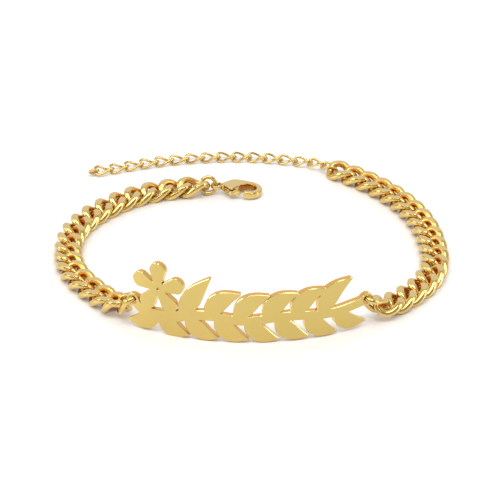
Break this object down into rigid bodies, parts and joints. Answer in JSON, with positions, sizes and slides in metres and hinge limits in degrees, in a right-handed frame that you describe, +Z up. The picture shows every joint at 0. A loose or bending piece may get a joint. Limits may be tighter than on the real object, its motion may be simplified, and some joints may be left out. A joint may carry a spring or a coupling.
{
  "type": "nameplate bracelet",
  "caption": "Curb-chain bracelet with a bent, pierced front plate, a lobster clasp and a fine extender chain, lying open.",
  "frame": {"origin": "middle of the loop's box, on the table it lies on", "axes": "+Z up from the table, -Y towards the plate at the front, +X to the right with the plate facing the viewer"},
  "size_m": [0.0698, 0.0686, 0.0133],
  "materials": {
    "satin_plate": "gold plating on satin brushed sheet, with bright cut edges",
    "chain_gold": "gold plating, polished, with filed flats",
    "clasp_gold": "gold plating on a tumbled casting"
  },
  "bodies": {
    "bracelet": {"nameplate": "satin_plate", "left_end_link": "chain_gold", "right_end_link": "chain_gold", "jump_ring": "chain_gold", "clasp_body": "clasp_gold", "extender_chain": "chain_gold", "left_link_01": "chain_gold", "left_link_02": "chain_gold", "left_link_03": "chain_gold", "left_link_04": "chain_gold", "left_link_05": "chain_gold", "left_link_06": "chain_gold", "left_link_07": "chain_gold", "left_link_08": "chain_gold", "left_link_09": "chain_gold", "left_link_10": "chain_gold", "left_link_11": "chain_gold", "left_link_12": "chain_gold", "left_link_13": "chain_gold", "left_link_14": "chain_gold", "left_link_15": "chain_gold", "left_link_16": "chain_gold", "left_link_17": "chain_gold", "left_link_18": "chain_gold", "right_link_01": "chain_gold", "right_link_02": "chain_gold", "right_link_03": "chain_gold", "right_link_04": "chain_gold", "right_link_05": "chain_gold", "right_link_06": "chain_gold", "right_link_07": "chain_gold", "right_link_08": "chain_gold", "right_link_09": "chain_gold", "right_link_10": "chain_gold", "right_link_11": "chain_gold", "right_link_12": "chain_gold", "right_link_13": "chain_gold", "right_link_14": "chain_gold", "right_link_15": "chain_gold", "right_link_16": "chain_gold", "right_link_17": "chain_gold", "right_link_18": "chain_gold"},
    "lever": {"clasp_lever": "clasp_gold"}
  },
  "joints": [
    {"name": "lever_hinge", "type": "hinge", "parent": "bracelet", "child": "lever", "pos_m": [-0.00427, 0.01848, 0.00144], "axis": [0.1129, -0.0089, 0.9936], "range_deg": [0, 28], "stiffness_Nm_per_rad": 0.002, "springref_deg": -17.19}
  ]
}
